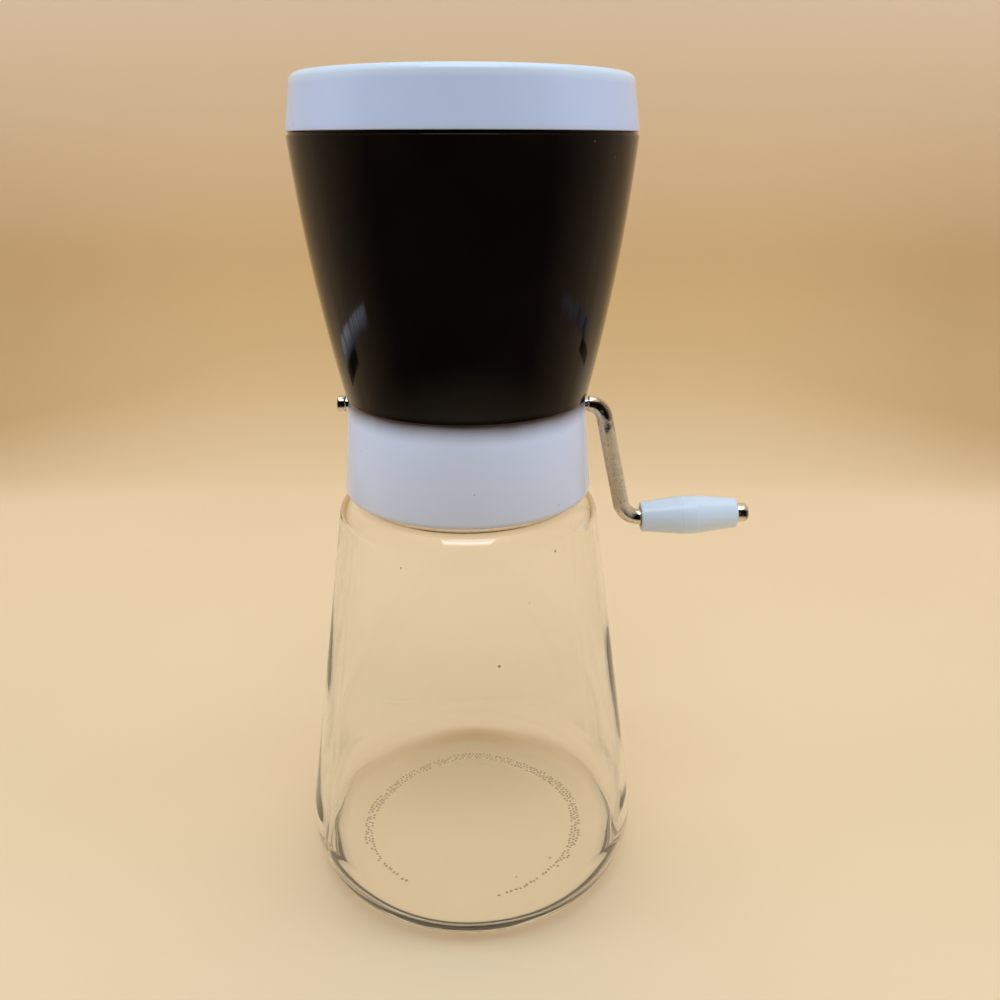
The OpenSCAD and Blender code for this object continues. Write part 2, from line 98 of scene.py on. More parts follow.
# Seam of the jar's mould, on two opposite sides
SEAM_ANGLE = math.radians(213)
SEAM_H = 0.06

# Stippled ring that the jar stands on: its dots, its rows, and the plain edges inside and outside of them
STIPPLE_H = 0.3
STIPPLE_R = 0.33
STIPPLE_ROWS = (28.9, 29.9, 30.8)
STIPPLE_COUNT = 160
STIPPLE_SHARE = 0.85
STIPPLE_LEAST = 0.6
STIPPLE_STRAY_ALONG = 0.5
STIPPLE_STRAY_OUT = 0.4
STIPPLE_SPAN = (28.3, 31.3)
STIPPLE_EDGES = (28.15, 31.5)

# Worn side of the stippled ring: its middle, how far each row is bare to both sides, and its fade
STIPPLE_BARE = math.radians(-97)
STIPPLE_BARE_HALF = (math.radians(16), math.radians(46), math.radians(52))
STIPPLE_BARE_FADE = math.radians(28)

# Air bubbles in the glass: angle in degrees, height, distance in from the side, half-width and half-height
BUBBLES = (
    (-77.2, 75.9, 1.0, 0.34, 0.26),
    (-49.4, 100.2, 1.3, 0.2, 0.3),
    (-116.8, 98.0, 1.2, 0.16, 0.2),
    (62.0, 58.0, 1.5, 0.3, 0.38),
    (171.0, 34.0, 1.3, 0.22, 0.3),
    (-38.0, 3.4, 19.0, 0.4, 0.3),
    (-63.0, 3.6, 19.4, 0.3, 0.26),
)

# Hopper
HOPPER_Z = 131.1
HOPPER_FOOT_R = 28.9
HOPPER_TOP_R = 38.25
HOPPER_BOW = 1.0
HOPPER_WALL = 2.0
HOPPER_ROUND = 0.7
LEDGE_Z = 189.35
LEDGE_EDGE = 0.12
LIP_R = 37.9
LIP_H = 0.5
HOPPER_RIM_R = 35.0
HOPPER_RIM_INNER_R = 33.8
HOPPER_RIM_Z = 199.8
SPIGOT_Z = 121.7
SPIGOT_R = 26.45
SPIGOT_INNER_R = 25.55
SNAP_H = 0.25
BEARING_R = 1.76
SLOT_HALF_L = 32.0
SLOT_REACH = 3.0

# Lid
LID_R = HOPPER_TOP_R
LID_Z = 190.05
LID_TOP_Z = 201.4
LID_UNDER_Z = HOPPER_RIM_Z
LID_SHOULDER_R = 36.8
LID_WALL = 1.6
LID_ROUND = 1.6
LID_EDGE = 0.25
LID_SKIRT_H = 2.0
LID_CORNER = 0.3

# Crank
ROD_R = 2.0
NECK_ROD_R = 1.7
NECK_INNER_X = 23.7
NECK_GAP = 0.05
SHOULDER_X = 29.395
SHOULDER_EDGE = 0.12
STUB_L = 2.0
STUB_ROUND = 0.35
FLATS_HALF = 1.5
SHAFT_Z = 128.7
ELBOW_TOP_R = 4.2
ELBOW_LOW_R = 4.8
ELBOW_START = 0.06
ARM_LEAN = math.radians(12.6)
GRIP_TILT = math.radians(2.6)
CRANK_DROP = 29.85
HEAD_R = 2.35
HEAD_L = 2.895
HEAD_EDGE = 0.2

# Grip
GRIP_L = 24.0
GRIP_PLAY = 0.3
GRIP_END_R = 3.75
GRIP_MID_R = 4.9
GRIP_BAND = 3.0
GRIP_BLEND = 0.5
GRIP_ROUND = 0.25
GRIP_END_L = 0.6
GRIP_BORE_R = 2.08
GRIP_RECESS_R = 2.8
GRIP_RECESS_L = 1.6
GRIP_CHAMFER = 0.1
GROOVE_DEPTH = 0.02
GROOVE_PITCH = 1.1
GROOVE_SHARPNESS = 6
GROOVE_REACH = 6.0
GROOVE_FADE = 3.0

# Points of a ring: of the glass, of the hopper and the lid, and of the rod and its grip
JAR_AROUND = 270
TURNED_AROUND = 240
ROD_AROUND = 64

# Radius of the ring next to a pole
POLE_R = 2.0

# Colours, linear
GLASS_TINT = (0.995, 0.997, 0.993, 1)
GLASS_DEPTH = (0.70, 0.80, 0.62, 1)
GLASS_DENSITY = 3.5
# Painted shade on the tips of the stipple dots, where they touch the floor
STIPPLE_PAINTED_SHADE = (0.40, 0.33, 0.25, 1)
LAMP_SHARE = (0.92, 0.905, 0.885, 1)
HEEL_SHARE = (0.58, 0.47, 0.36, 1)
WHITE = (0.61, 0.69, 0.94, 1)
WHITE_SHADE = (0.59, 0.67, 0.915, 1)
# Painted highlight along the lid's rounded top edge, and painted light on its top
WHITE_PAINTED_HIGHLIGHT = (0.74, 0.85, 0.99, 1)
WHITE_TOP_PAINTED_LIGHT = (0.65, 0.73, 0.89, 1)
# The collar's white is painted lighter than the lid's, for the light that the hopper keeps off it
COLLAR_PAINTED_LIGHT = (0.72, 0.785, 1.0, 1)
COLLAR_PAINTED_LIGHT_MOTTLE = (0.70, 0.765, 0.975, 1)
# Painted shade on the collar: darker and warmer low down, and dark along its top under the hopper
COLLAR_LOW_PAINTED_SHADE = (0.66, 0.65, 0.72, 1)
WHITE_PAINTED_SHADE_UNDER_HOPPER = (0.125, 0.095, 0.09, 1)
# The grip's white is painted lighter than the lid's, for the highlight on its top
GRIP_PAINTED_LIGHT = (0.77, 0.87, 1.0, 1)
GRIP_PAINTED_LIGHT_MOTTLE = (0.745, 0.845, 0.975, 1)
BLACK = (0.0035, 0.0022, 0.0019, 1)
BLACK_BROWN = (0.0065, 0.0042, 0.003, 1)
DUST = (0.22, 0.2, 0.17, 1)
NICKEL = (0.78, 0.73, 0.65, 1)
TARNISH = (0.52, 0.42, 0.28, 1)
DULL = (0.80, 0.63, 0.41, 1)
PIT = (0.05, 0.04, 0.03, 1)
TIN = (0.62, 0.61, 0.58, 1)
TIN_SHADE = (0.45, 0.44, 0.42, 1)
LINER = (0.80, 0.80, 0.78, 1)
LINER_SHADE = (0.70, 0.70, 0.67, 1)
FLAG_FRONT = (0.004, 0.003, 0.003, 1)
FLAG_SIDE = (0.38, 0.27, 0.17, 1)
WINDOW = (0.80, 0.84, 1.0, 1)
PAPER = (0.93, 0.71, 0.46, 1)
PAPER_SHADE = (0.905, 0.685, 0.44, 1)
# Painted shade where the backdrop sweeps up: a darker band, darker off the middle, and a lighter shade above
# it
PAPER_PAINTED_SHADE = (0.715, 0.465, 0.22, 1)
PAPER_PAINTED_SHADE_EDGE = (0.62, 0.395, 0.185, 1)
PAPER_TOP_PAINTED_SHADE = (0.80, 0.60, 0.41, 1)
WORLD_LIT = (0.80, 0.91, 1.0, 1)
WORLD_SEEN = (0.66, 0.5, 0.32, 1)

# How strongly the surfaces bend and mirror light
PLASTIC_IOR = 1.48
DARK_IOR = 1.5
DARK_SPECULAR = 0.42
GLASS_IOR = 1.51
PAPER_SPECULAR = 0.25

# Where a colour or a mask starts and where it is full: heights Z, or distances R from the axis
# Heights of the lid's painted highlight, and distances from the axis of the painted light on its top
LID_HIGHLIGHT_Z = (198.8, 200.6)
LID_TOP_LIGHT_R = (37.2, 34.5)
LID_MOTTLE = 4.0
# The collar's painted shade low down, and along its top under the hopper with an uneven edge and a power for
# its fall
COLLAR_LOW_PAINTED_SHADE_Z = (127.0, 106.0)
COLLAR_HOPPER_SHADE_Z = (127.5, 131.8)
COLLAR_HOPPER_SHADE_UNEVEN = 1.6
COLLAR_HOPPER_SHADE_POWER = 1.5
ARM_TOP_Z = (127.0, 119.0)
ARM_LOW_Z = (99.0, 105.0)
# Where the painted shade on the stipple dots lies
DOTS_INNER_R = (28.1, 28.2)
DOTS_OUTER_R = (31.4, 31.3)
DOTS_Z = (0.27, 0.18)
HEEL_R = (36.0, 41.0)
HEEL_Z = (13.0, 4.0)

# Backdrop, in metres: its sweep, and where its band of painted shade lies. Off the middle is the square of X
SWEEP_HALF_W = 1.6
SWEEP_FRONT_Y = -1.4
SWEEP_BEND_Y = 0.3
SWEEP_BEND_R = 0.12
SWEEP_BEND_START = 0.05
SWEEP_RISE_STEP = 0.1
SWEEP_TOP_Z = 1.8
SWEEP_COLUMNS = 9
BAND_Y = (0.285, 0.405)
BAND_TOP_Z = (0.1, 0.27)
BAND_EDGE_OFF = (0.03, 0.1)
BAND_BEND_OFF = (0.02, 0.12)
BAND_BEND_Y = 0.05

# Cards that only reflections show, in metres, with their angles in degrees off the front
FLAG_SPAN = (-145, 145)
FLAG_R = 0.25
FLAG_TOP_Z = 0.4
FLAG_SIDE_Y = (-0.14, 0.06)
FLAG_BACK_Y = (0.2, 0.09)
FLOOR_FLAG_R = (0.06, 0.252)
FLOOR_FLAG_Z = 0.0006
FLOOR_FLAG_FADE_R = (0.07, 0.25)
CARD_STEPS = 32

# Low windows: side, strength, angles, lower and upper edge, and the heights between which they brighten
WINDOW_R = 0.245
WINDOW_LEAST = 0.3
WINDOWS = (
    ("left", 1.9, (-119, -78), 0.05, 0.066, (0.05, 0.06)),
    ("right", 0.5, (76, 112), 0.058, 0.07, (0.056, 0.066)),
)

# Dark edges under the windows: side, angles, lower and upper edge
EDGE_R = 0.244
EDGES = (("left", (-121, -99), 0.037, 0.05), ("right", (108, 124), 0.048, 0.058))

# Lamps, in metres: name, place, target, width, height, power, colour, and whether gloss and glass show them
LAMPS = (
    ("lamp_above", (0.05, 0.15, 1.15), (0, 0.03, 0), 1.0, 0.8, 3.3, (0.88, 0.95, 1.0), True),
    ("lamp_front", (0.0, -0.38, 1.0), (0, 0, 0.1), 0.55, 0.35, 2.6, (0.78, 0.90, 1.0), True),
    ("lamp_left", (-0.9, -0.15, 0.55), (0, 0, 0.1), 0.5, 0.7, 3.5, (0.80, 0.90, 1.0), False),
    ("lamp_right", (0.9, -0.15, 0.55), (0, 0, 0.1), 0.5, 0.7, 3.5, (0.80, 0.90, 1.0), False),
)
WORLD_LIT_STRENGTH = 0.32
WORLD_SEEN_STRENGTH = 1.0

# Camera
CAMERA_PLACE = (0.00798, -0.21727, 0.18747)
CAMERA_TILT = math.radians(68.88)
CAMERA_SENSOR = 36
CAMERA_LENS = 33.12
CAMERA_CLIP = (0.01, 20)


def jar_side(z):
    """Radius of the jar's straight side at a height."""
    return JAR_R - JAR_LEAN * (z - JAR_HEEL_H)


def smooth(t):
    """0 to 1 with level ends."""
    t = min(1.0, max(0.0, t))
    return t * t * (3 - 2 * t)


def spread(start, end, count):
    """Evenly spaced values from start to end, both included."""
    return [start + (end - start) * i / (count - 1) for i in range(count)]


def arc(centre, width, height, start, end, count):
    """Points of an elliptical arc round a centre, angles in degrees."""
    return [
        (centre[0] + width * math.cos(a), centre[1] + height * math.sin(a))
        for a in map(math.radians, spread(start, end, count))
    ]


def bowed(start, end, bow, count):
    """Points of a line that bows to its right by a height in the middle."""
    length = math.hypot(end[0] - start[0], end[1] - start[1])
    right = ((end[1] - start[1]) / length, (start[0] - end[0]) / length)
    return [
        tuple(start[i] + t * (end[i] - start[i]) + 4 * t * (1 - t) * bow * right[i] for i in (0, 1))
        for t in spread(0, 1, count)
    ]


def ripple(angle, height):
    """A slow unevenness between about -1 and 1, as pressed glass has."""
    return sum(
        share * math.sin(count * angle + climb * height + phase)
        for share, count, climb, phase in RIPPLE_WAVES
    )


def scatter(number):
    """A fixed value between 0 and 1 that looks random."""
    return math.modf(abs(math.sin(number * 12.9898 + 4.1) * 43758.5453))[0]


def bridge(lower, upper):
    """Faces between two rings of vertices: equal rings, a ring and a pole, or rings of n and 2n vertices."""
    if len(lower) > len(upper):
        return [face[::-1] for face in bridge(upper, lower)]
    count = len(lower)
    if count == 1:
        total = len(upper)
        return [(lower[0], upper[(i + 1) % total], upper[i]) for i in range(total)]
    if len(upper) == count:
        return [
            (lower[i], lower[(i + 1) % count], upper[(i + 1) % count], upper[i])
            for i in range(count)
        ]
    return [
        (
            lower[i],
            lower[(i + 1) % count],
            upper[(2 * i + 2) % (2 * count)],
            upper[2 * i + 1],
            upper[2 * i],
        )
        for i in range(count)
    ]


def skin(name, rings, closed=False):
    """A smooth mesh through rings of points in millimetres. Closed joins the last ring to the first."""
    builder = bmesh.new()
    made = [[builder.verts.new(Vector(p) * MM) for p in ring] for ring in rings]
    pairs = list(zip(made, made[1:]))
    if closed:
        pairs.append((made[-1], made[0]))
    for lower, upper in pairs:
        for corners in bridge(lower, upper):
            builder.faces.new(corners).smooth = True
    bmesh.ops.recalc_face_normals(builder, faces=builder.faces)
    mesh = bpy.data.meshes.new(name)
    builder.to_mesh(mesh)
    builder.free()
    piece = bpy.data.objects.new(name, mesh)
    bpy.context.scene.collection.objects.link(piece)
    return piece


def sharpen(piece, degrees):
    """Keeps the edges sharper than an angle crisp in the smooth shading."""
    piece.data.set_sharp_from_angle(angle=math.radians(degrees))


def turns(count):
    """Evenly spaced angles of a full turn."""
    return [TURN * i / count for i in range(count)]


def polar(r, angle, z):
    """The point at a distance from the Z axis, an angle and a height."""
    return (r * math.cos(angle), r * math.sin(angle), z)


def ring_at(r, z, count):
    """A level ring of points round the Z axis."""
    return [polar(r, a, z) for a in turns(count)]


def thread_height(angle, z):
    """How far the neck's thread stands out at an angle and a height."""
    total = TURN * THREAD_TURNS
    best = 0.0
    for turn in range(math.ceil(THREAD_TURNS)):
        along = angle + TURN * turn
        if along > total:
            continue
        fade = smooth(min(along, total - along) / THREAD_FADE)
        middle = THREAD_Z + THREAD_PITCH * along / TURN
        off = abs(z - middle)
        rise = smooth((THREAD_HALF_ROOT - off) / (THREAD_HALF_ROOT - THREAD_HALF_CREST))
        best = max(best, THREAD_DEPTH * fade * rise)
    return best


def stipple_share(angle, row):
    """Share of a row's dots that are there at an angle."""
    off_bare = abs((angle - STIPPLE_BARE + math.pi) % TURN - math.pi)
    return STIPPLE_SHARE * smooth((off_bare - STIPPLE_BARE_HALF[row]) / STIPPLE_BARE_FADE)


def stipple_depth(angle, r):
    """How far a stipple dot reaches down at an angle and a radius."""
    deepest = 0.0
    step = TURN / STIPPLE_COUNT
    for row, row_r in enumerate(STIPPLE_ROWS):
        shift = 0.5 * (row % 2)
        place = angle / step - shift
        for dot in (math.floor(place), math.floor(place) + 1):
            seed = dot % STIPPLE_COUNT + 1000 * row
            if scatter(seed) > stipple_share((dot + shift) * step, row):
                continue
            along = (place - dot) * step * r + STIPPLE_STRAY_ALONG * (scatter(seed + 0.3) - 0.5)
            out = r - row_r + STIPPLE_STRAY_OUT * (scatter(seed + 0.6) - 0.5)
            away = math.hypot(along, out) / STIPPLE_R
            dome = math.sqrt(max(0.0, 1 - away * away))
            depth = STIPPLE_LEAST + (1 - STIPPLE_LEAST) * scatter(seed + 0.8)
            deepest = max(deepest, STIPPLE_H * dome * depth)
    return deepest


def base_rings():
    """Rings under the jar's base: the hollow, the stippled ring and the flat round it."""
    rings = [[(0, 0, JAR_HOLLOW_H)]]
    for r in spread(POLE_R, JAR_HOLLOW_R, 12):
        dome = (JAR_HOLLOW_H - STIPPLE_H) * (1 - (r / JAR_HOLLOW_R) ** 2)
        rings.append(ring_at(r, STIPPLE_H + dome, JAR_AROUND))
    rings.append(ring_at(STIPPLE_EDGES[0], STIPPLE_H, 2 * JAR_AROUND))
    for r in spread(*STIPPLE_SPAN, 23):
        rings.append([polar(r, a, STIPPLE_H - stipple_depth(a, r)) for a in turns(4 * JAR_AROUND)])
    rings.append(ring_at(STIPPLE_EDGES[1], STIPPLE_H, 2 * JAR_AROUND))
    rings.append(ring_at(JAR_STAND_R, STIPPLE_H, JAR_AROUND))
    return rings


def shoulder_centre():
    """Centre of the rounding between the jar's side and its neck."""
    z = JAR_SHOULDER_H - JAR_SHOULDER_ROUND
    return jar_side(z) - JAR_SHOULDER_ROUND / math.cos(JAR_LEAN_ANGLE), z


def outside_outline():
    """Points of the jar's outside, from the heel to the foot of the neck."""
    heel_w = JAR_R - JAR_BASE_R
    heel_end = math.degrees(math.atan(JAR_LEAN * JAR_HEEL_H / heel_w))
    heel = arc((JAR_BASE_R, JAR_HEEL_H), heel_w, JAR_HEEL_H, -90, heel_end, 40)
    outline = [(r, z + STIPPLE_H * max(0.0, 1 - z / JAR_HEEL_H)) for r, z in heel]
    centre = shoulder_centre()
    lean = math.degrees(JAR_LEAN_ANGLE)
    end = math.degrees(math.acos((NECK_R - centre[0]) / JAR_SHOULDER_ROUND))
    shoulder = arc(centre, JAR_SHOULDER_ROUND, JAR_SHOULDER_ROUND, lean, end, 22)
    outline += [(jar_side(z), z) for z in spread(outline[-1][1], shoulder[0][1], 22)[1:-1]]
    return outline + shoulder


def outside_rings():
    """Rings up the jar's uneven outside, with the mould's seam on two sides."""
    seams = [round(JAR_AROUND * (SEAM_ANGLE / TURN + half)) % JAR_AROUND for half in (0, 0.5)]
    rings = []
    for r, z in outside_outline():
        low_fade = smooth((z - OUTER_RIPPLE_LOW_Z) / OUTER_RIPPLE_FADE)
        fade = low_fade * smooth((OUTER_RIPPLE_HIGH_Z - z) / OUTER_RIPPLE_FADE)
        ring = []
        for i, a in enumerate(turns(JAR_AROUND)):
            out = r - OUTER_RIPPLE * fade * (1 + ripple(-a, OUTER_RIPPLE_STRETCH * z))
            if i in seams:
                out += SEAM_H * fade
            ring.append(polar(out, a, z))
        rings.append(ring)
    return rings


def neck_rings():
    """Rings up the threaded neck, over the rim and down to the foot of the bore."""
    start_z = outside_outline()[-1][1] + NECK_STEP
    rim_z = RIM_Z - RIM_ROUND
    bore_z = JAR_SHOULDER_H - JAR_WALL + BORE_ROUND
    rings = [
        [polar(NECK_R + thread_height(a, z), a, z) for a in turns(JAR_AROUND)]
        for z in spread(start_z, rim_z, 42)
    ]
    rim = arc((NECK_R - RIM_ROUND, rim_z), RIM_ROUND, RIM_ROUND, 8, 90, 8)
    rim += arc((MOUTH_R + RIM_ROUND, rim_z), RIM_ROUND, RIM_ROUND, 90, 180, 10)
    rim += arc((MOUTH_R + BORE_ROUND, bore_z), BORE_ROUND, BORE_ROUND, 180, 262, 12)
    return rings + [ring_at(r, z, JAR_AROUND) for r, z in rim]


def inside_outline():
    """Points of the jar's inside, from under the shoulder down to the floor and along it."""
    inner_round = JAR_SHOULDER_ROUND - JAR_WALL
    start = math.atan(JAR_LEAN * JAR_FLOOR_ROUND_H / JAR_FLOOR_ROUND_W)
    round_z = JAR_FLOOR_Z + JAR_FLOOR_ROUND_H
    round_top_z = round_z + JAR_FLOOR_ROUND_H * math.sin(start)
    round_r = jar_side(round_top_z) - JAR_WALL - JAR_FLOOR_ROUND_W * math.cos(start)
    size = (JAR_FLOOR_ROUND_W, JAR_FLOOR_ROUND_H)
    floor_edge = arc((round_r, round_z), *size, math.degrees(start), -90, 28)
    outline = arc(shoulder_centre(), inner_round, inner_round, 80, math.degrees(JAR_LEAN_ANGLE), 14)
    side_zs = spread(outline[-1][1], floor_edge[0][1], 30)[1:-1]
    outline += [(jar_side(z) - JAR_WALL, z) for z in side_zs]
    outline += floor_edge
    return outline + [(r, JAR_FLOOR_Z) for r in spread(round_r, POLE_R, 14)[1:]]


def inside_rings():
    """Rings down the jar's uneven inside and across its floor."""
    rings = []
    for r, z in inside_outline():
        wall = smooth((z - JAR_FLOOR_Z) / JAR_FLOOR_ROUND_H)
        sway = wall * INNER_RIPPLE * smooth((INNER_RIPPLE_HIGH_Z - z) / INNER_RIPPLE_FADE)
        swell = (1 - wall) * FLOOR_RIPPLE * smooth(r / FLOOR_RIPPLE_FADE)
        rings.append([
            polar(r + sway * ripple(a, z), a, z + swell * ripple(a, r))
            for a in turns(JAR_AROUND)
        ])
    return rings + [[(0, 0, JAR_FLOOR_Z)]]


def jar_rings():
    """Rings of the glass: under the base, up the outside, over the rim and down the inside to the floor."""
    return base_rings() + outside_rings() + neck_rings() + inside_rings()


def blow_bubbles(piece):
    """Closed air bubbles inside the glass, their faces turned towards the air."""
    builder = bmesh.new()
    builder.from_mesh(piece.data)
    for degrees, z, depth, half_w, half_h in BUBBLES:
        place = Matrix.Translation(Vector(polar(jar_side(z) - depth, math.radians(degrees), z)) * MM)
        matrix = place @ Matrix.Diagonal((half_w * MM, half_w * MM, half_h * MM, 1))
        made = bmesh.ops.create_uvsphere(builder, u_segments=16, v_segments=10, radius=1, matrix=matrix)
        faces = {face for vert in made["verts"] for face in vert.link_faces}
        bmesh.ops.reverse_faces(builder, faces=list(faces))
        for face in faces:
            face.smooth = True
    builder.to_mesh(piece.data)
    builder.free()


def hopper_rings():
    """Rings of the hopper: the spigot's outside, the bowed cone, the ledge, lip and rim, and back inside."""
    bead_z = SPIGOT_Z + 2 * SNAP_H
    foot_z = HOPPER_Z + HOPPER_ROUND
    lip_z = LEDGE_Z + LIP_H
    rim_edge_z = HOPPER_RIM_Z - LEDGE_EDGE
    outline = [
        (SPIGOT_INNER_R, SPIGOT_Z),
        (SPIGOT_R - SNAP_H, SPIGOT_Z),
        (SPIGOT_R, bead_z - SNAP_H),
        (SPIGOT_R + SNAP_H, bead_z),
        (SPIGOT_R, bead_z + SNAP_H),
        (SPIGOT_R, HOPPER_Z),
    ]
    outline += arc((HOPPER_FOOT_R - HOPPER_ROUND, foot_z), HOPPER_ROUND, HOPPER_ROUND, -90, -8, 10)
    outline += bowed((HOPPER_FOOT_R, foot_z), (HOPPER_TOP_R, LEDGE_Z), HOPPER_BOW, 48)[:-1]
    outline += arc((HOPPER_TOP_R - LEDGE_EDGE, LEDGE_Z - LEDGE_EDGE), LEDGE_EDGE, LEDGE_EDGE, 0, 90, 6)
    outline += [(LIP_R, LEDGE_Z), (LIP_R, lip_z), (HOPPER_RIM_R, lip_z)]
    outline += arc((HOPPER_RIM_R - LEDGE_EDGE, rim_edge_z), LEDGE_EDGE, LEDGE_EDGE, 0, 90, 5)
    outline += arc((HOPPER_RIM_INNER_R + LEDGE_EDGE, rim_edge_z), LEDGE_EDGE, LEDGE_EDGE, 90, 180, 5)
    inner_top = (HOPPER_RIM_INNER_R, LEDGE_Z - HOPPER_WALL)
    inner_foot = (HOPPER_FOOT_R - HOPPER_WALL, HOPPER_Z + HOPPER_WALL)
    outline += bowed(inner_top, inner_foot, -HOPPER_BOW, 32)
    outline += [(SPIGOT_INNER_R, HOPPER_Z)]
    return [ring_at(r, z, TURNED_AROUND) for r, z in outline]


def slot_rings():
    """Rings of the cutter for the two bearing slots in the hopper's spigot, a round-topped bar along X."""
    low_z = SPIGOT_Z - SLOT_REACH
    profile = arc((0, SHAFT_Z), BEARING_R, BEARING_R, 0, 180, 25)
    profile += [(-BEARING_R, low_z), (BEARING_R, low_z)]
    middle = (0, SHAFT_Z - BEARING_R)
    ends = [[(x, y, z) for y, z in profile] for x in (-SLOT_HALF_L, SLOT_HALF_L)]
    return [[(-SLOT_HALF_L, *middle)], *ends, [(SLOT_HALF_L, *middle)]]


def cut(piece, cutter):
    """Takes the cutter's shape out of a piece."""
    knife = piece.modifiers.new("cut", "BOOLEAN")
    knife.operation = "DIFFERENCE"
    knife.solver = "EXACT"
    knife.object = cutter
    graph = bpy.context.evaluated_depsgraph_get()
    carved = bpy.data.meshes.new_from_object(piece.evaluated_get(graph))
    piece.modifiers.clear()
    piece.data = carved
    bpy.data.objects.remove(cutter)


def lid_rings():
    """Rings of the lid: from the middle of its top, down the outside, and back inside to the middle."""
    round_z = LID_TOP_Z - LID_ROUND
    round_r = LID_SHOULDER_R - LID_ROUND
    inner_r = LID_SHOULDER_R - LID_WALL
    edge_z = LID_Z + LID_EDGE
    outline = [(r, LID_TOP_Z) for r in spread(POLE_R, round_r - 1, 12)]
    outline += arc((round_r, round_z), LID_ROUND, LID_ROUND, 90, 8, 16)
    outline += [
        (LID_SHOULDER_R + (LID_R - LID_SHOULDER_R) * t, round_z + (edge_z - round_z) * t)
        for t in spread(0.08, 1, 8)
    ]
    outline += arc((LID_R - LID_EDGE, edge_z), LID_EDGE, LID_EDGE, -15, -90, 5)
    outline += arc((LID_R - LID_WALL + LID_EDGE, edge_z), LID_EDGE, LID_EDGE, -90, -180, 6)
    outline += [
        (inner_r, LID_UNDER_Z - LID_SKIRT_H),
        (inner_r, LID_UNDER_Z - LID_CORNER),
        (inner_r - LID_CORNER, LID_UNDER_Z),
    ]
    outline += [(r, LID_UNDER_Z) for r in spread(inner_r - 1, POLE_R, 8)]
    rings = [ring_at(r, z, TURNED_AROUND) for r, z in outline]
    return [[(0, 0, LID_TOP_Z)]] + rings + [[(0, 0, LID_UNDER_Z)]]


def crank_corners():
    """The rod's two corners in the plane Y = 0, and how far along each leg its elbow starts."""
    top_turn = math.pi / 2 - ARM_LEAN
    low_turn = top_turn + GRIP_TILT
    top_tangent = ELBOW_TOP_R * math.tan(top_turn / 2)
    low_tangent = ELBOW_LOW_R * math.tan(low_turn / 2)
    top = Vector((SHOULDER_X + top_tangent, 0, SHAFT_Z))
    low = top + Vector((CRANK_DROP * math.tan(ARM_LEAN), 0, -CRANK_DROP))
    return top, low, top_tangent, low_tangent


def across(heading):
    """The upward direction square to the rod where it points an angle below the X axis."""
    return Vector((math.sin(heading), 0, math.cos(heading)))


def rod_ring(centre, heading, r, flats=False):
    """A ring of the rod round a point. Heading is the angle that the rod points below the X axis."""
    up = across(heading)
    ring = []
    for a in turns(ROD_AROUND):
        rise = r * math.sin(a)
        if flats:
            rise = min(FLATS_HALF, max(-FLATS_HALF, rise))
        ring.append(Vector(centre) + Vector((0, r * math.cos(a), 0)) + up * rise)
    return ring


def shaft_rings():
    """Rings of the rod's straight shaft, from the stub's end to the shoulder at the crank's side."""
    stub_x = -SHOULDER_X - STUB_L
    edge = SHOULDER_EDGE
    edge_r = ROD_R - edge
    stub = arc((ROD_R - STUB_ROUND, stub_x + STUB_ROUND), STUB_ROUND, STUB_ROUND, -90, 0, 6)
    stub += arc((edge_r, -SHOULDER_X - edge), edge, edge, 0, 90, 4)
    shoulder = arc((edge_r, SHOULDER_X + edge), edge, edge, -90, 0, 4)
    outline = [(r, x, False) for r, x in stub]
    outline += [
        (NECK_ROD_R, -SHOULDER_X + NECK_GAP, False),
        (NECK_ROD_R, -NECK_INNER_X, False),
        (ROD_R, -NECK_INNER_X, True),
        (ROD_R, NECK_INNER_X, True),
        (NECK_ROD_R, NECK_INNER_X, False),
        (NECK_ROD_R, SHOULDER_X - NECK_GAP, False),
    ]
    outline += [(r, x, False) for r, x in shoulder]
    rings = [rod_ring((x, 0, SHAFT_Z), 0, r, flats) for r, x, flats in outline]
    return [[(stub_x, 0, SHAFT_Z)]] + rings


def arm_rings():
    """Rings of the rod round its upper elbow, down the arm and round its lower elbow."""
    top, low, top_tangent, low_tangent = crank_corners()
    top_turn = math.pi / 2 - ARM_LEAN
    top_centre = Vector((SHOULDER_X, 0, SHAFT_Z - ELBOW_TOP_R))
    rings = [
        rod_ring(top_centre + across(turned) * ELBOW_TOP_R, turned, ROD_R)
        for turned in spread(ELBOW_START, top_turn, 26)
    ]
    down = (low - top).normalized()
    arm_start = top + down * top_tangent
    arm_end = low - down * low_tangent
    rings += [rod_ring(arm_start.lerp(arm_end, t), top_turn, ROD_R) for t in spread(0, 1, 26)[1:-1]]
    low_centre = arm_end + across(top_turn) * ELBOW_LOW_R
    for turned in spread(0, top_turn + GRIP_TILT, 28):
        heading = top_turn - turned
        rings.append(rod_ring(low_centre - across(heading) * ELBOW_LOW_R, heading, ROD_R))
    return rings


def spindle_axis():
    """Direction of the grip's spindle."""
    return Vector((math.cos(GRIP_TILT), 0, math.sin(GRIP_TILT)))


def spindle_rings():
    """Rings of the rod's spindle and its upset end."""
    _, low, _, low_tangent = crank_corners()
    head_start = low_tangent + GRIP_L + 2 * GRIP_PLAY
    edge = HEAD_R / 2
    outline = [(ROD_R, s) for s in spread(low_tangent, head_start, 20)[1:]]
    outline += arc((HEAD_R - HEAD_EDGE, head_start + HEAD_EDGE), HEAD_EDGE, HEAD_EDGE, -90, 0, 4)
    outline += arc((HEAD_R - edge, head_start + HEAD_L - edge), edge, edge, 0, 86, 14)
    rings = [rod_ring(low + spindle_axis() * s, -GRIP_TILT, r) for r, s in outline]
    return rings + [[low + spindle_axis() * (head_start + HEAD_L)]]


def rod_rings():
    """Rings of the bent rod from the stub, along the shaft, round both elbows, to the upset end."""
    return shaft_rings() + arm_rings() + spindle_rings()


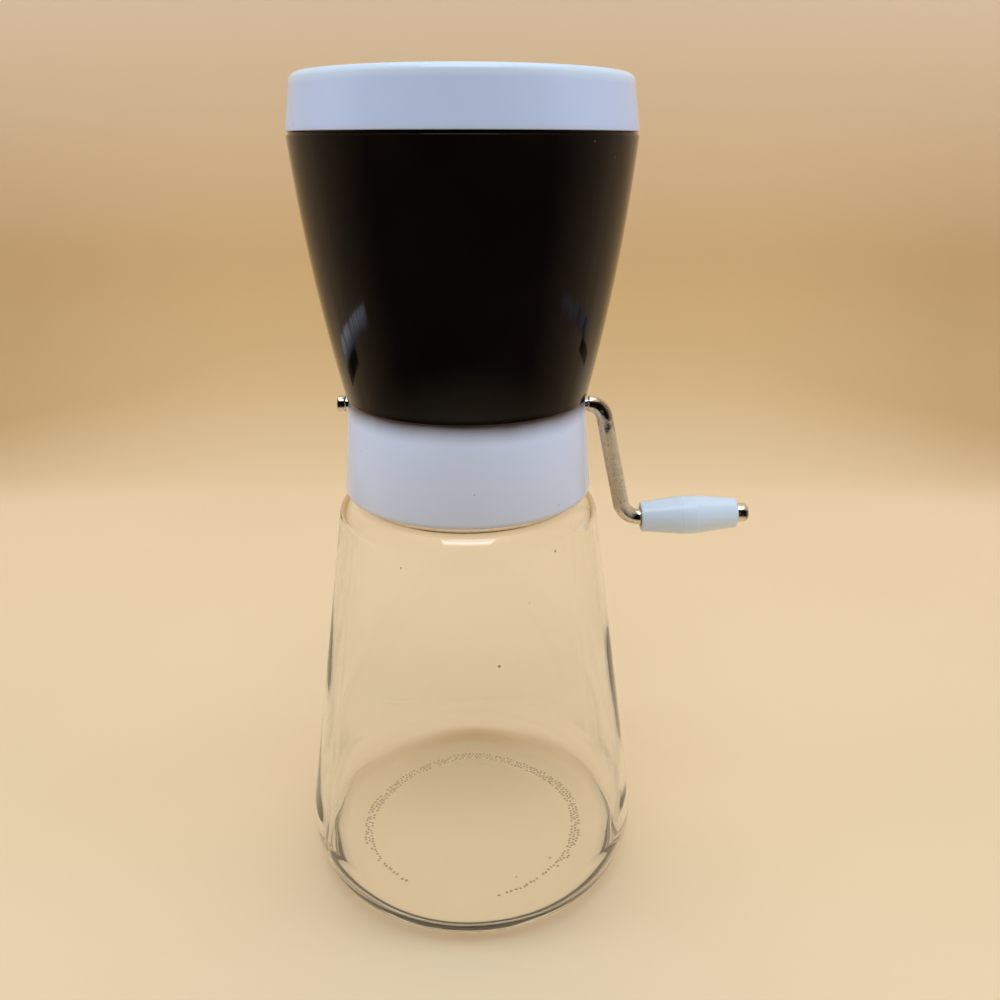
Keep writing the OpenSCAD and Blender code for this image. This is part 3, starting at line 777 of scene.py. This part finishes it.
def grip_rings():
    """Rings of the hollow grip on the rod's spindle: along the outside and back through the bore."""
    _, low, _, low_tangent = crank_corners()
    start = low_tangent + GRIP_PLAY
    taper = (GRIP_MID_R - GRIP_END_R) / ((GRIP_L - GRIP_BAND) / 2)
    end_r = GRIP_END_R - GRIP_ROUND
    outline = [
        (GRIP_RECESS_R, GRIP_RECESS_L),
        (GRIP_RECESS_R, GRIP_CHAMFER),
        (GRIP_RECESS_R + GRIP_CHAMFER, 0),
    ]
    outline += arc((end_r, GRIP_ROUND), GRIP_ROUND, GRIP_ROUND, -90, 0, 8)
    for s in spread(GRIP_END_L, GRIP_L - GRIP_END_L, 120):
        off_middle = abs(s - GRIP_L / 2)
        off_band = max(0.0, off_middle - GRIP_BAND / 2 + GRIP_BLEND)
        fall = min(1.0, off_band) * (off_band - GRIP_BLEND)
        ridge = max(0.0, math.cos(TURN * s / GROOVE_PITCH)) ** GROOVE_SHARPNESS
        groove = GROOVE_DEPTH * ridge * smooth((GROOVE_REACH - off_middle) / GROOVE_FADE)
        outline.append((GRIP_MID_R - taper * max(0.0, fall) - groove, s))
    outline += arc((end_r, GRIP_L - GRIP_ROUND), GRIP_ROUND, GRIP_ROUND, 0, 90, 8)
    outline += [
        (GRIP_BORE_R + GRIP_CHAMFER, GRIP_L),
        (GRIP_BORE_R, GRIP_L - GRIP_CHAMFER),
        (GRIP_BORE_R, GRIP_RECESS_L),
    ]
    return [rod_ring(low + spindle_axis() * (start + s), -GRIP_TILT, r) for r, s in outline]


def add(tree, kind, sockets=None, **settings):
    """A shader node with its settings, and with its sockets set or linked."""
    made = tree.nodes.new(kind)
    for name, value in settings.items():
        setattr(made, name, value)
    for name, value in (sockets or {}).items():
        if isinstance(value, bpy.types.NodeSocket):
            tree.links.new(value, made.inputs[name])
        else:
            made.inputs[name].default_value = value
    return made


def new_material(name):
    """An empty node material, its tree, its output and the place of a point on the object."""
    material = bpy.data.materials.new(name)
    material.use_nodes = True
    tree = material.node_tree
    tree.nodes.clear()
    output = tree.nodes.new("ShaderNodeOutputMaterial")
    place = tree.nodes.new("ShaderNodeTexCoord").outputs["Object"]
    return material, tree, output, place


def surface(tree, output, sockets):
    """A principled surface as a material's look."""
    shader = add(tree, "ShaderNodeBsdfPrincipled", sockets)
    tree.links.new(shader.outputs["BSDF"], output.inputs["Surface"])


def noise(tree, place, scale, detail=3.0, roughness=0.55):
    """Soft noise from 0 to 1, its scale in waves per metre."""
    sockets = {"Vector": place, "Scale": scale, "Detail": detail, "Roughness": roughness}
    return add(tree, "ShaderNodeTexNoise", sockets).outputs["Fac"]


def remap(tree, value, low, high, to_low=0.0, to_high=1.0):
    """A value moved from one range to another, and held inside it."""
    sockets = {"Value": value, "From Min": low, "From Max": high, "To Min": to_low, "To Max": to_high}
    return add(tree, "ShaderNodeMapRange", sockets).outputs["Result"]


def between(tree, value, span):
    """0 at the first of two places and 1 at the second, both in millimetres."""
    return remap(tree, value, span[0] * MM, span[1] * MM)


def blend(tree, share, first, second):
    """A colour between two. The colour sockets of a mix have only numbers."""
    return add(tree, "ShaderNodeMix", {0: share, 6: first, 7: second}, data_type="RGBA").outputs[2]


def math_node(tree, operation, first, second):
    """Two values combined."""
    return add(tree, "ShaderNodeMath", {0: first, 1: second}, operation=operation).outputs[0]


def mix_shaders(tree, share, first, second):
    """A shader between two."""
    return add(tree, "ShaderNodeMixShader", {0: share, 1: first, 2: second}).outputs["Shader"]


def coordinate(tree, place, axis):
    """One coordinate of a place."""
    return add(tree, "ShaderNodeSeparateXYZ", {"Vector": place}).outputs[axis]


def stretched(tree, place, x, y, z):
    """The place with each axis scaled, for streaks."""
    return add(tree, "ShaderNodeMapping", {"Vector": place, "Scale": (x, y, z)}).outputs["Vector"]


def origin_distance(tree, place):
    """Distance of a place from the origin."""
    return add(tree, "ShaderNodeVectorMath", {0: place}, operation="LENGTH").outputs["Value"]


def axis_distance(tree, place):
    """Distance from the Z axis."""
    return origin_distance(tree, stretched(tree, place, 1, 1, 0))


def specks(tree, place, scale, size, rarity):
    """Small sparse spots: 1 inside, 0 outside."""
    cells = add(tree, "ShaderNodeTexVoronoi", {"Vector": place, "Scale": scale, "Randomness": 1.0})
    near = remap(tree, cells.outputs["Distance"], size, 0.4 * size)
    chance = add(tree, "ShaderNodeSeparateColor", {"Color": cells.outputs["Color"]}).outputs["Red"]
    kept = math_node(tree, "LESS_THAN", chance, rarity)
    return math_node(tree, "MULTIPLY", near, kept)


def bump(tree, height, strength, distance):
    """A normal from a height, its distance in metres."""
    sockets = {"Height": height, "Strength": strength, "Distance": distance}
    return add(tree, "ShaderNodeBump", sockets).outputs["Normal"]


def white_plastic(name, light, shade, toned=None):
    """Glossy white moulding with soft mottling, faint scuffs and a few dust specks.

    Toned is a function that recolours it by place, with painted light and shade.
    """
    material, tree, output, place = new_material(name)
    cloud = remap(tree, noise(tree, place, scale=45, detail=4), 0.35, 0.65)
    lines = noise(tree, stretched(tree, place, 0.1, 0.1, 1), scale=650)
    scuffs = remap(tree, lines, 0.5, 0.75, to_high=0.6)
    dust = math_node(tree, "MULTIPLY", specks(tree, place, scale=420, size=0.12, rarity=0.03), 0.45)
    colour = blend(tree, math_node(tree, "MAXIMUM", cloud, scuffs), light, shade)
    if toned:
        colour = toned(tree, place, colour)
    surface(tree, output, {
        "Base Color": blend(tree, dust, colour, DUST),
        "Roughness": remap(tree, noise(tree, place, scale=900), 0.3, 0.75, to_low=0.2, to_high=0.27),
        "IOR": PLASTIC_IOR,
        "Normal": bump(tree, noise(tree, place, scale=28, detail=2), strength=0.02, distance=0.0015),
    })
    return material


def lid_painted_light(tree, place, colour):
    """Painted highlight along the lid's rounded top edge, and painted light on its top."""
    edged = blend(tree, between(tree, coordinate(tree, place, "Z"), LID_HIGHLIGHT_Z), colour, WHITE_PAINTED_HIGHLIGHT)
    mottled = math_node(tree, "MULTIPLY", noise(tree, place, scale=120, detail=5), LID_MOTTLE * MM)
    inside = between(tree, math_node(tree, "ADD", axis_distance(tree, place), mottled), LID_TOP_LIGHT_R)
    return blend(tree, inside, edged, WHITE_TOP_PAINTED_LIGHT)


def collar_painted_shade(tree, place, colour):
    """Painted shade, darker and warmer low on the collar, and dark along its top under the hopper."""
    height = coordinate(tree, place, "Z")
    lower = blend(tree, between(tree, height, COLLAR_LOW_PAINTED_SHADE_Z), colour, COLLAR_LOW_PAINTED_SHADE)
    uneven = math_node(tree, "MULTIPLY", noise(tree, place, scale=60), COLLAR_HOPPER_SHADE_UNEVEN * MM)
    near_top = between(tree, math_node(tree, "ADD", height, uneven), COLLAR_HOPPER_SHADE_Z)
    return blend(tree, math_node(tree, "POWER", near_top, COLLAR_HOPPER_SHADE_POWER), lower, WHITE_PAINTED_SHADE_UNDER_HOPPER)


def dark_plastic():
    """Glossy black-brown moulding with vertical flow marks, hairline scratches and dust."""
    material, tree, output, place = new_material("dark_plastic")
    cloud = remap(tree, noise(tree, place, scale=35, detail=4), 0.38, 0.68)
    dust = specks(tree, place, scale=420, size=0.07, rarity=0.05)
    colour = blend(tree, dust, blend(tree, cloud, BLACK, BLACK_BROWN), DUST)
    streaks = noise(tree, stretched(tree, place, 1, 1, 0.06), scale=420, detail=4)
    haze = remap(tree, noise(tree, place, scale=60, detail=5), 0.3, 0.75, to_low=0.035, to_high=0.1)
    rough = math_node(tree, "ADD", haze, remap(tree, streaks, 0.58, 0.8, to_high=0.09))
    wave = noise(tree, stretched(tree, place, 1, 1, 0.35), scale=55, detail=2)
    surface(tree, output, {
        "Base Color": colour,
        "Roughness": math_node(tree, "ADD", rough, math_node(tree, "MULTIPLY", dust, 0.5)),
        "IOR": DARK_IOR,
        "Specular IOR Level": DARK_SPECULAR,
        "Normal": bump(tree, wave, strength=0.04, distance=0.0006),
    })
    return material


def plated_steel():
    """Nickel plate, bright at the bends and ends and worn dull along the arm, with small dark pits."""
    material, tree, output, place = new_material("plated_steel")
    height = coordinate(tree, place, "Z")
    on_arm = math_node(tree, "MULTIPLY", between(tree, height, ARM_TOP_Z), between(tree, height, ARM_LOW_Z))
    patchy = remap(tree, noise(tree, place, scale=380, detail=4), 0.3, 0.7, to_low=-0.45, to_high=0.45)
    dull = remap(tree, math_node(tree, "ADD", on_arm, patchy), 0.25, 0.75)
    tarnish = remap(tree, noise(tree, place, scale=420, detail=5), 0.42, 0.7, to_high=0.5)
    speckle = math_node(tree, "MULTIPLY", remap(tree, noise(tree, place, scale=2400), 0.5, 0.68), dull)
    large_pits = specks(tree, place, scale=1100, size=0.24, rarity=0.22)
    small_pits = specks(tree, place, scale=1900, size=0.3, rarity=0.16)
    pits = math_node(tree, "MAXIMUM", large_pits, small_pits)
    worn = blend(tree, tarnish, blend(tree, dull, NICKEL, DULL), TARNISH)
    grained = blend(tree, math_node(tree, "MULTIPLY", speckle, 0.6), worn, TARNISH)
    grain = noise(tree, place, scale=2600, detail=2)
    pitted = math_node(tree, "SUBTRACT", math_node(tree, "MULTIPLY", grain, 0.5), pits)
    rough = remap(tree, noise(tree, place, scale=330, detail=4), 0.35, 0.7, to_low=0.1, to_high=0.2)
    dull_rough = math_node(tree, "ADD", rough, math_node(tree, "MULTIPLY", dull, 0.25))
    surface(tree, output, {
        "Base Color": blend(tree, pits, grained, PIT),
        "Metallic": remap(tree, dull, 0.0, 1.0, to_low=1.0, to_high=0.25),
        "Roughness": math_node(tree, "ADD", dull_rough, math_node(tree, "MULTIPLY", pits, 0.4)),
        "Normal": bump(tree, pitted, strength=0.35, distance=0.00008),
    })
    return material


def sheet_steel(name, along):
    """Tinned steel with fine lines along one axis and darker patches."""
    material, tree, output, place = new_material(name)
    lines = noise(tree, stretched(tree, place, *along), scale=1800)
    patches = remap(tree, noise(tree, place, scale=190, detail=4), 0.4, 0.7)
    surface(tree, output, {
        "Base Color": blend(tree, math_node(tree, "MULTIPLY", patches, 0.6), TIN, TIN_SHADE),
        "Metallic": 1.0,
        "Roughness": remap(tree, lines, 0.3, 0.7, to_low=0.22, to_high=0.42),
        "Normal": bump(tree, lines, strength=0.2, distance=0.00004),
    })
    return material


def soft_liner():
    """Matt white liner with a fine grain."""
    material, tree, output, place = new_material("liner")
    cloud = remap(tree, noise(tree, place, scale=220, detail=4), 0.35, 0.65)
    surface(tree, output, {
        "Base Color": blend(tree, cloud, LINER, LINER_SHADE),
        "Roughness": remap(tree, noise(tree, place, scale=500), 0.3, 0.7, to_low=0.55, to_high=0.75),
        "Normal": bump(tree, noise(tree, place, scale=1500, detail=2), strength=0.2, distance=0.00006),
    })
    return material


def clear_glass():
    """Clear pressed glass that lets the lamps through, slightly uneven, with painted shade on the stipple
    dots.
    """
    material, tree, output, place = new_material("clear_glass")
    uneven = noise(tree, stretched(tree, place, 1, 1, 0.4), scale=70, detail=2)
    height = coordinate(tree, place, "Z")
    off_axis = axis_distance(tree, place)
    outside_hollow = between(tree, off_axis, DOTS_INNER_R)
    ring = math_node(tree, "MULTIPLY", outside_hollow, between(tree, off_axis, DOTS_OUTER_R))
    dots = math_node(tree, "MULTIPLY", ring, between(tree, height, DOTS_Z))
    glass = add(tree, "ShaderNodeBsdfPrincipled", {
        "Base Color": blend(tree, dots, GLASS_TINT, STIPPLE_PAINTED_SHADE),
        "Roughness": remap(tree, noise(tree, place, scale=120, detail=4), 0.5, 0.8, to_high=0.03),
        "IOR": GLASS_IOR,
        "Transmission Weight": 1.0,
        "Normal": bump(tree, uneven, strength=0.06, distance=0.0005),
    })
    heel = math_node(tree, "MULTIPLY", between(tree, off_axis, HEEL_R), between(tree, height, HEEL_Z))
    let_through = blend(tree, heel, LAMP_SHARE, HEEL_SHARE)
    open_to_lamps = add(tree, "ShaderNodeBsdfTransparent", {"Color": let_through})
    towards_lamp = add(tree, "ShaderNodeLightPath").outputs["Is Shadow Ray"]
    mixed = mix_shaders(tree, towards_lamp, glass.outputs["BSDF"], open_to_lamps.outputs["BSDF"])
    tree.links.new(mixed, output.inputs["Surface"])
    depth = add(tree, "ShaderNodeVolumeAbsorption", {"Color": GLASS_DEPTH, "Density": GLASS_DENSITY})
    tree.links.new(depth.outputs["Volume"], output.inputs["Volume"])
    return material


def paper():
    """Plain pale backdrop paper with a soft unevenness, and a band of painted shade where it sweeps up."""
    material, tree, output, place = new_material("backdrop_paper")
    cloud = remap(tree, noise(tree, place, scale=5), 0.3, 0.7)
    x = coordinate(tree, place, "X")
    off_middle = math_node(tree, "MULTIPLY", x, x)
    band = blend(tree, remap(tree, off_middle, *BAND_EDGE_OFF), PAPER_PAINTED_SHADE, PAPER_PAINTED_SHADE_EDGE)
    raised = blend(tree, remap(tree, coordinate(tree, place, "Z"), *BAND_TOP_Z), band, PAPER_TOP_PAINTED_SHADE)
    flat = blend(tree, cloud, PAPER, PAPER_SHADE)
    bend = remap(tree, off_middle, *BAND_BEND_OFF, to_high=BAND_BEND_Y)
    back = math_node(tree, "ADD", coordinate(tree, place, "Y"), bend)
    surface(tree, output, {
        "Base Color": blend(tree, remap(tree, back, *BAND_Y), flat, raised),
        "Roughness": remap(tree, noise(tree, place, scale=400), 0.3, 0.7, to_low=0.65, to_high=0.8),
        "Specular IOR Level": PAPER_SPECULAR,
    })
    return material


def wear(piece, material):
    """Gives a piece one material."""
    piece.data.materials.clear()
    piece.data.materials.append(material)


def stand_for(piece, node, body, material):
    """A finer mesh takes the place of a node."""
    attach(piece, body)
    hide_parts(node)
    wear(piece, material)


def stage_piece(name, corners, faces, material):
    """A mesh of the studio, which isn't part of the object."""
    mesh = bpy.data.meshes.new(name)
    mesh.from_pydata(corners, [], faces)
    piece = bpy.data.objects.new(name, mesh)
    bpy.context.scene.collection.objects.link(piece)
    wear(piece, material)
    return piece


def backdrop():
    """A floor that sweeps up behind the object."""
    back_y = SWEEP_BEND_Y + SWEEP_BEND_R
    outline = [(y, 0.0) for y in spread(SWEEP_FRONT_Y, SWEEP_BEND_Y, 12)]
    outline += [
        (SWEEP_BEND_Y + SWEEP_BEND_R * math.sin(a), SWEEP_BEND_R * (1 - math.cos(a)))
        for a in spread(SWEEP_BEND_START, math.pi / 2, 40)
    ]
    outline += [(back_y, z) for z in spread(SWEEP_BEND_R + SWEEP_RISE_STEP, SWEEP_TOP_Z, 8)]
    xs = spread(-SWEEP_HALF_W, SWEEP_HALF_W, SWEEP_COLUMNS)
    corners = [(x, y, z) for y, z in outline for x in xs]
    starts = [row * SWEEP_COLUMNS + i for row in range(len(outline) - 1) for i in range(SWEEP_COLUMNS - 1)]
    faces = [(i, i + 1, i + 1 + SWEEP_COLUMNS, i + SWEEP_COLUMNS) for i in starts]
    sweep = stage_piece("backdrop", corners, faces, paper())
    sweep.data.polygons.foreach_set("use_smooth", [True] * len(faces))


def softbox(name, place, target, width, height, power, colour, shown):
    """A rectangular lamp at a place, turned towards a target, shown in gloss and glass or not."""
    lamp = bpy.data.lights.new(name, "AREA")
    lamp.shape = "RECTANGLE"
    lamp.size = width
    lamp.size_y = height
    lamp.energy = power
    lamp.color = colour
    holder = bpy.data.objects.new(name, lamp)
    holder.visible_glossy = shown
    holder.visible_transmission = shown
    holder.location = place
    aim = Vector(target) - Vector(place)
    holder.rotation_euler = aim.to_track_quat("-Z", "Y").to_euler()
    bpy.context.scene.collection.objects.link(holder)


def side_card(name, material, degrees, low, high, radii):
    """A curved card round the object between two angles off the front, seen in reflections only."""
    corners = []
    for angle in spread(*degrees, CARD_STEPS):
        a = math.radians(angle)
        for r, z in zip(radii, (low, high)):
            corners.append((r * math.sin(a), -r * math.cos(a), z))
    faces = [(2 * i, 2 * i + 2, 2 * i + 3, 2 * i + 1) for i in range(CARD_STEPS - 1)]
    card = stage_piece(name, corners, faces, material)
    card.visible_camera = False
    card.visible_diffuse = False
    card.visible_transmission = False
    card.visible_shadow = False


def card_cloth(name, front, side, clear_r=0.0, solid_r=0.001):
    """Dark card, one colour in front and another at its sides, clear inside a radius and solid from another.

    It fades out behind the object, and light that has gone into the glass passes it.
    """
    material, tree, output, place = new_material(name)
    y = coordinate(tree, place, "Y")
    colour = blend(tree, remap(tree, y, *FLAG_SIDE_Y), front, side)
    cloth = add(tree, "ShaderNodeEmission", {"Color": colour})
    clear = add(tree, "ShaderNodeBsdfTransparent")
    sockets = {"Value": origin_distance(tree, place), "From Min": clear_r, "From Max": solid_r}
    cover = add(tree, "ShaderNodeMapRange", sockets, interpolation_type="SMOOTHSTEP").outputs["Result"]
    cover = math_node(tree, "MULTIPLY", cover, remap(tree, y, *FLAG_BACK_Y))
    entered = add(tree, "ShaderNodeLightPath").outputs["Transmission Depth"]
    cover = math_node(tree, "MULTIPLY", cover, math_node(tree, "LESS_THAN", entered, 0.5))
    mixed = mix_shaders(tree, cover, clear.outputs["BSDF"], cloth.outputs["Emission"])
    tree.links.new(mixed, output.inputs["Surface"])
    return material


def window_glow(name, strength, low, high):
    """Cool streaky brightness of a low window that fades towards its lower edge."""
    material, tree, output, place = new_material(name)
    lines = noise(tree, stretched(tree, place, 1, 1, 0.12), scale=320)
    streaks = remap(tree, lines, 0.38, 0.62, to_low=0.1)
    fade = remap(tree, coordinate(tree, place, "Z"), low, high, to_low=WINDOW_LEAST, to_high=strength)
    brightness = math_node(tree, "MULTIPLY", streaks, fade)
    glow = add(tree, "ShaderNodeEmission", {"Color": WINDOW, "Strength": brightness})
    tree.links.new(glow.outputs["Emission"], output.inputs["Surface"])
    return material


def reflections():
    """What the gloss shows besides the paper: a dark room in front, low windows and dark edges below."""
    flag = card_cloth("flag_cloth", FLAG_FRONT, FLAG_SIDE)
    side_card("flag", flag, FLAG_SPAN, 0.0, FLAG_TOP_Z, (FLAG_R, FLAG_R))
    floor_flag = card_cloth("floor_cloth", FLAG_FRONT, FLAG_SIDE, *FLOOR_FLAG_FADE_R)
    side_card("floor_flag", floor_flag, FLAG_SPAN, FLOOR_FLAG_Z, FLOOR_FLAG_Z, FLOOR_FLAG_R)
    for side, strength, degrees, low, high, brightening in WINDOWS:
        glow = window_glow(f"glow_{side}", strength, *brightening)
        side_card(f"window_{side}", glow, degrees, low, high, (WINDOW_R, WINDOW_R))
    edge = card_cloth("edge_cloth", FLAG_FRONT, FLAG_FRONT)
    for side, degrees, low, high in EDGES:
        side_card(f"edge_{side}", edge, degrees, low, high, (EDGE_R, EDGE_R))


def studio():
    """Soft light from above, the front and both sides, and an even pale surrounding."""
    for lamp in LAMPS:
        softbox(*lamp)
    world = bpy.data.worlds.new("studio")
    world.use_nodes = True
    tree = world.node_tree
    lit = tree.nodes["Background"]
    lit.inputs["Color"].default_value = WORLD_LIT
    lit.inputs["Strength"].default_value = WORLD_LIT_STRENGTH
    seen = add(tree, "ShaderNodeBackground", {"Color": WORLD_SEEN, "Strength": WORLD_SEEN_STRENGTH})
    rays = add(tree, "ShaderNodeLightPath")
    shown = math_node(tree, "MAXIMUM", rays.outputs["Is Camera Ray"], rays.outputs["Is Glossy Ray"])
    shown = math_node(tree, "MAXIMUM", shown, rays.outputs["Is Transmission Ray"])
    mixed = mix_shaders(tree, shown, lit.outputs["Background"], seen.outputs["Background"])
    tree.links.new(mixed, tree.nodes["World Output"].inputs["Surface"])
    bpy.context.scene.world = world


def camera():
    """The photograph's viewpoint."""
    lens = bpy.data.cameras.new("camera")
    lens.sensor_width = CAMERA_SENSOR
    lens.lens = CAMERA_LENS
    lens.clip_start, lens.clip_end = CAMERA_CLIP
    holder = bpy.data.objects.new("camera", lens)
    holder.location = CAMERA_PLACE
    holder.rotation_euler = (CAMERA_TILT, 0, 0)
    bpy.context.scene.collection.objects.link(holder)
    bpy.context.scene.camera = holder


# The lid's and the collar's whites get painted light and shade by place; the collar's and the grip's are
# painted lighter
white = white_plastic("white_plastic", WHITE, WHITE_SHADE, lid_painted_light)
collar_painted_white = white_plastic("collar_plastic", COLLAR_PAINTED_LIGHT, COLLAR_PAINTED_LIGHT_MOTTLE, collar_painted_shade)
grip_painted_white = white_plastic("grip_plastic", GRIP_PAINTED_LIGHT, GRIP_PAINTED_LIGHT_MOTTLE)
steel = plated_steel()
blade_steel = sheet_steel("blade_steel", (1, 0.08, 0.08))
spacer_steel = sheet_steel("spacer_steel", (0.1, 1, 1))

jar = skin("glass_jar", jar_rings())
blow_bubbles(jar)
stand_for(jar, "jar", "jar", clear_glass())
cone = skin("cone", hopper_rings(), closed=True)
cut(cone, skin("slot_cutter", slot_rings()))
sharpen(cone, 30)
stand_for(cone, "hopper", "head", dark_plastic())
cap = skin("cap", lid_rings())
sharpen(cap, 50)
stand_for(cap, "lid", "lid", white)
rod = skin("bent_rod", rod_rings())
sharpen(rod, 40)
stand_for(rod, "crank_rod", "crank", steel)
grip = skin("grip_sleeve", grip_rings(), closed=True)
sharpen(grip, 50)
stand_for(grip, "crank_grip", "grip", grip_painted_white)

dresses = {
    "collar": collar_painted_white,
    "jar_seal": soft_liner(),
    "comb_coarse": blade_steel,
    "comb_fine": blade_steel,
    "comb_screws": steel,
}
for node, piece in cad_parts.items():
    if node.startswith("blade"):
        wear(piece, blade_steel)
    elif node.startswith("spacer"):
        wear(piece, spacer_steel)
    elif node in dresses:
        wear(piece, dresses[node])

backdrop()
reflections()
studio()
camera()
bpy.context.scene.view_settings.view_transform = "Standard"
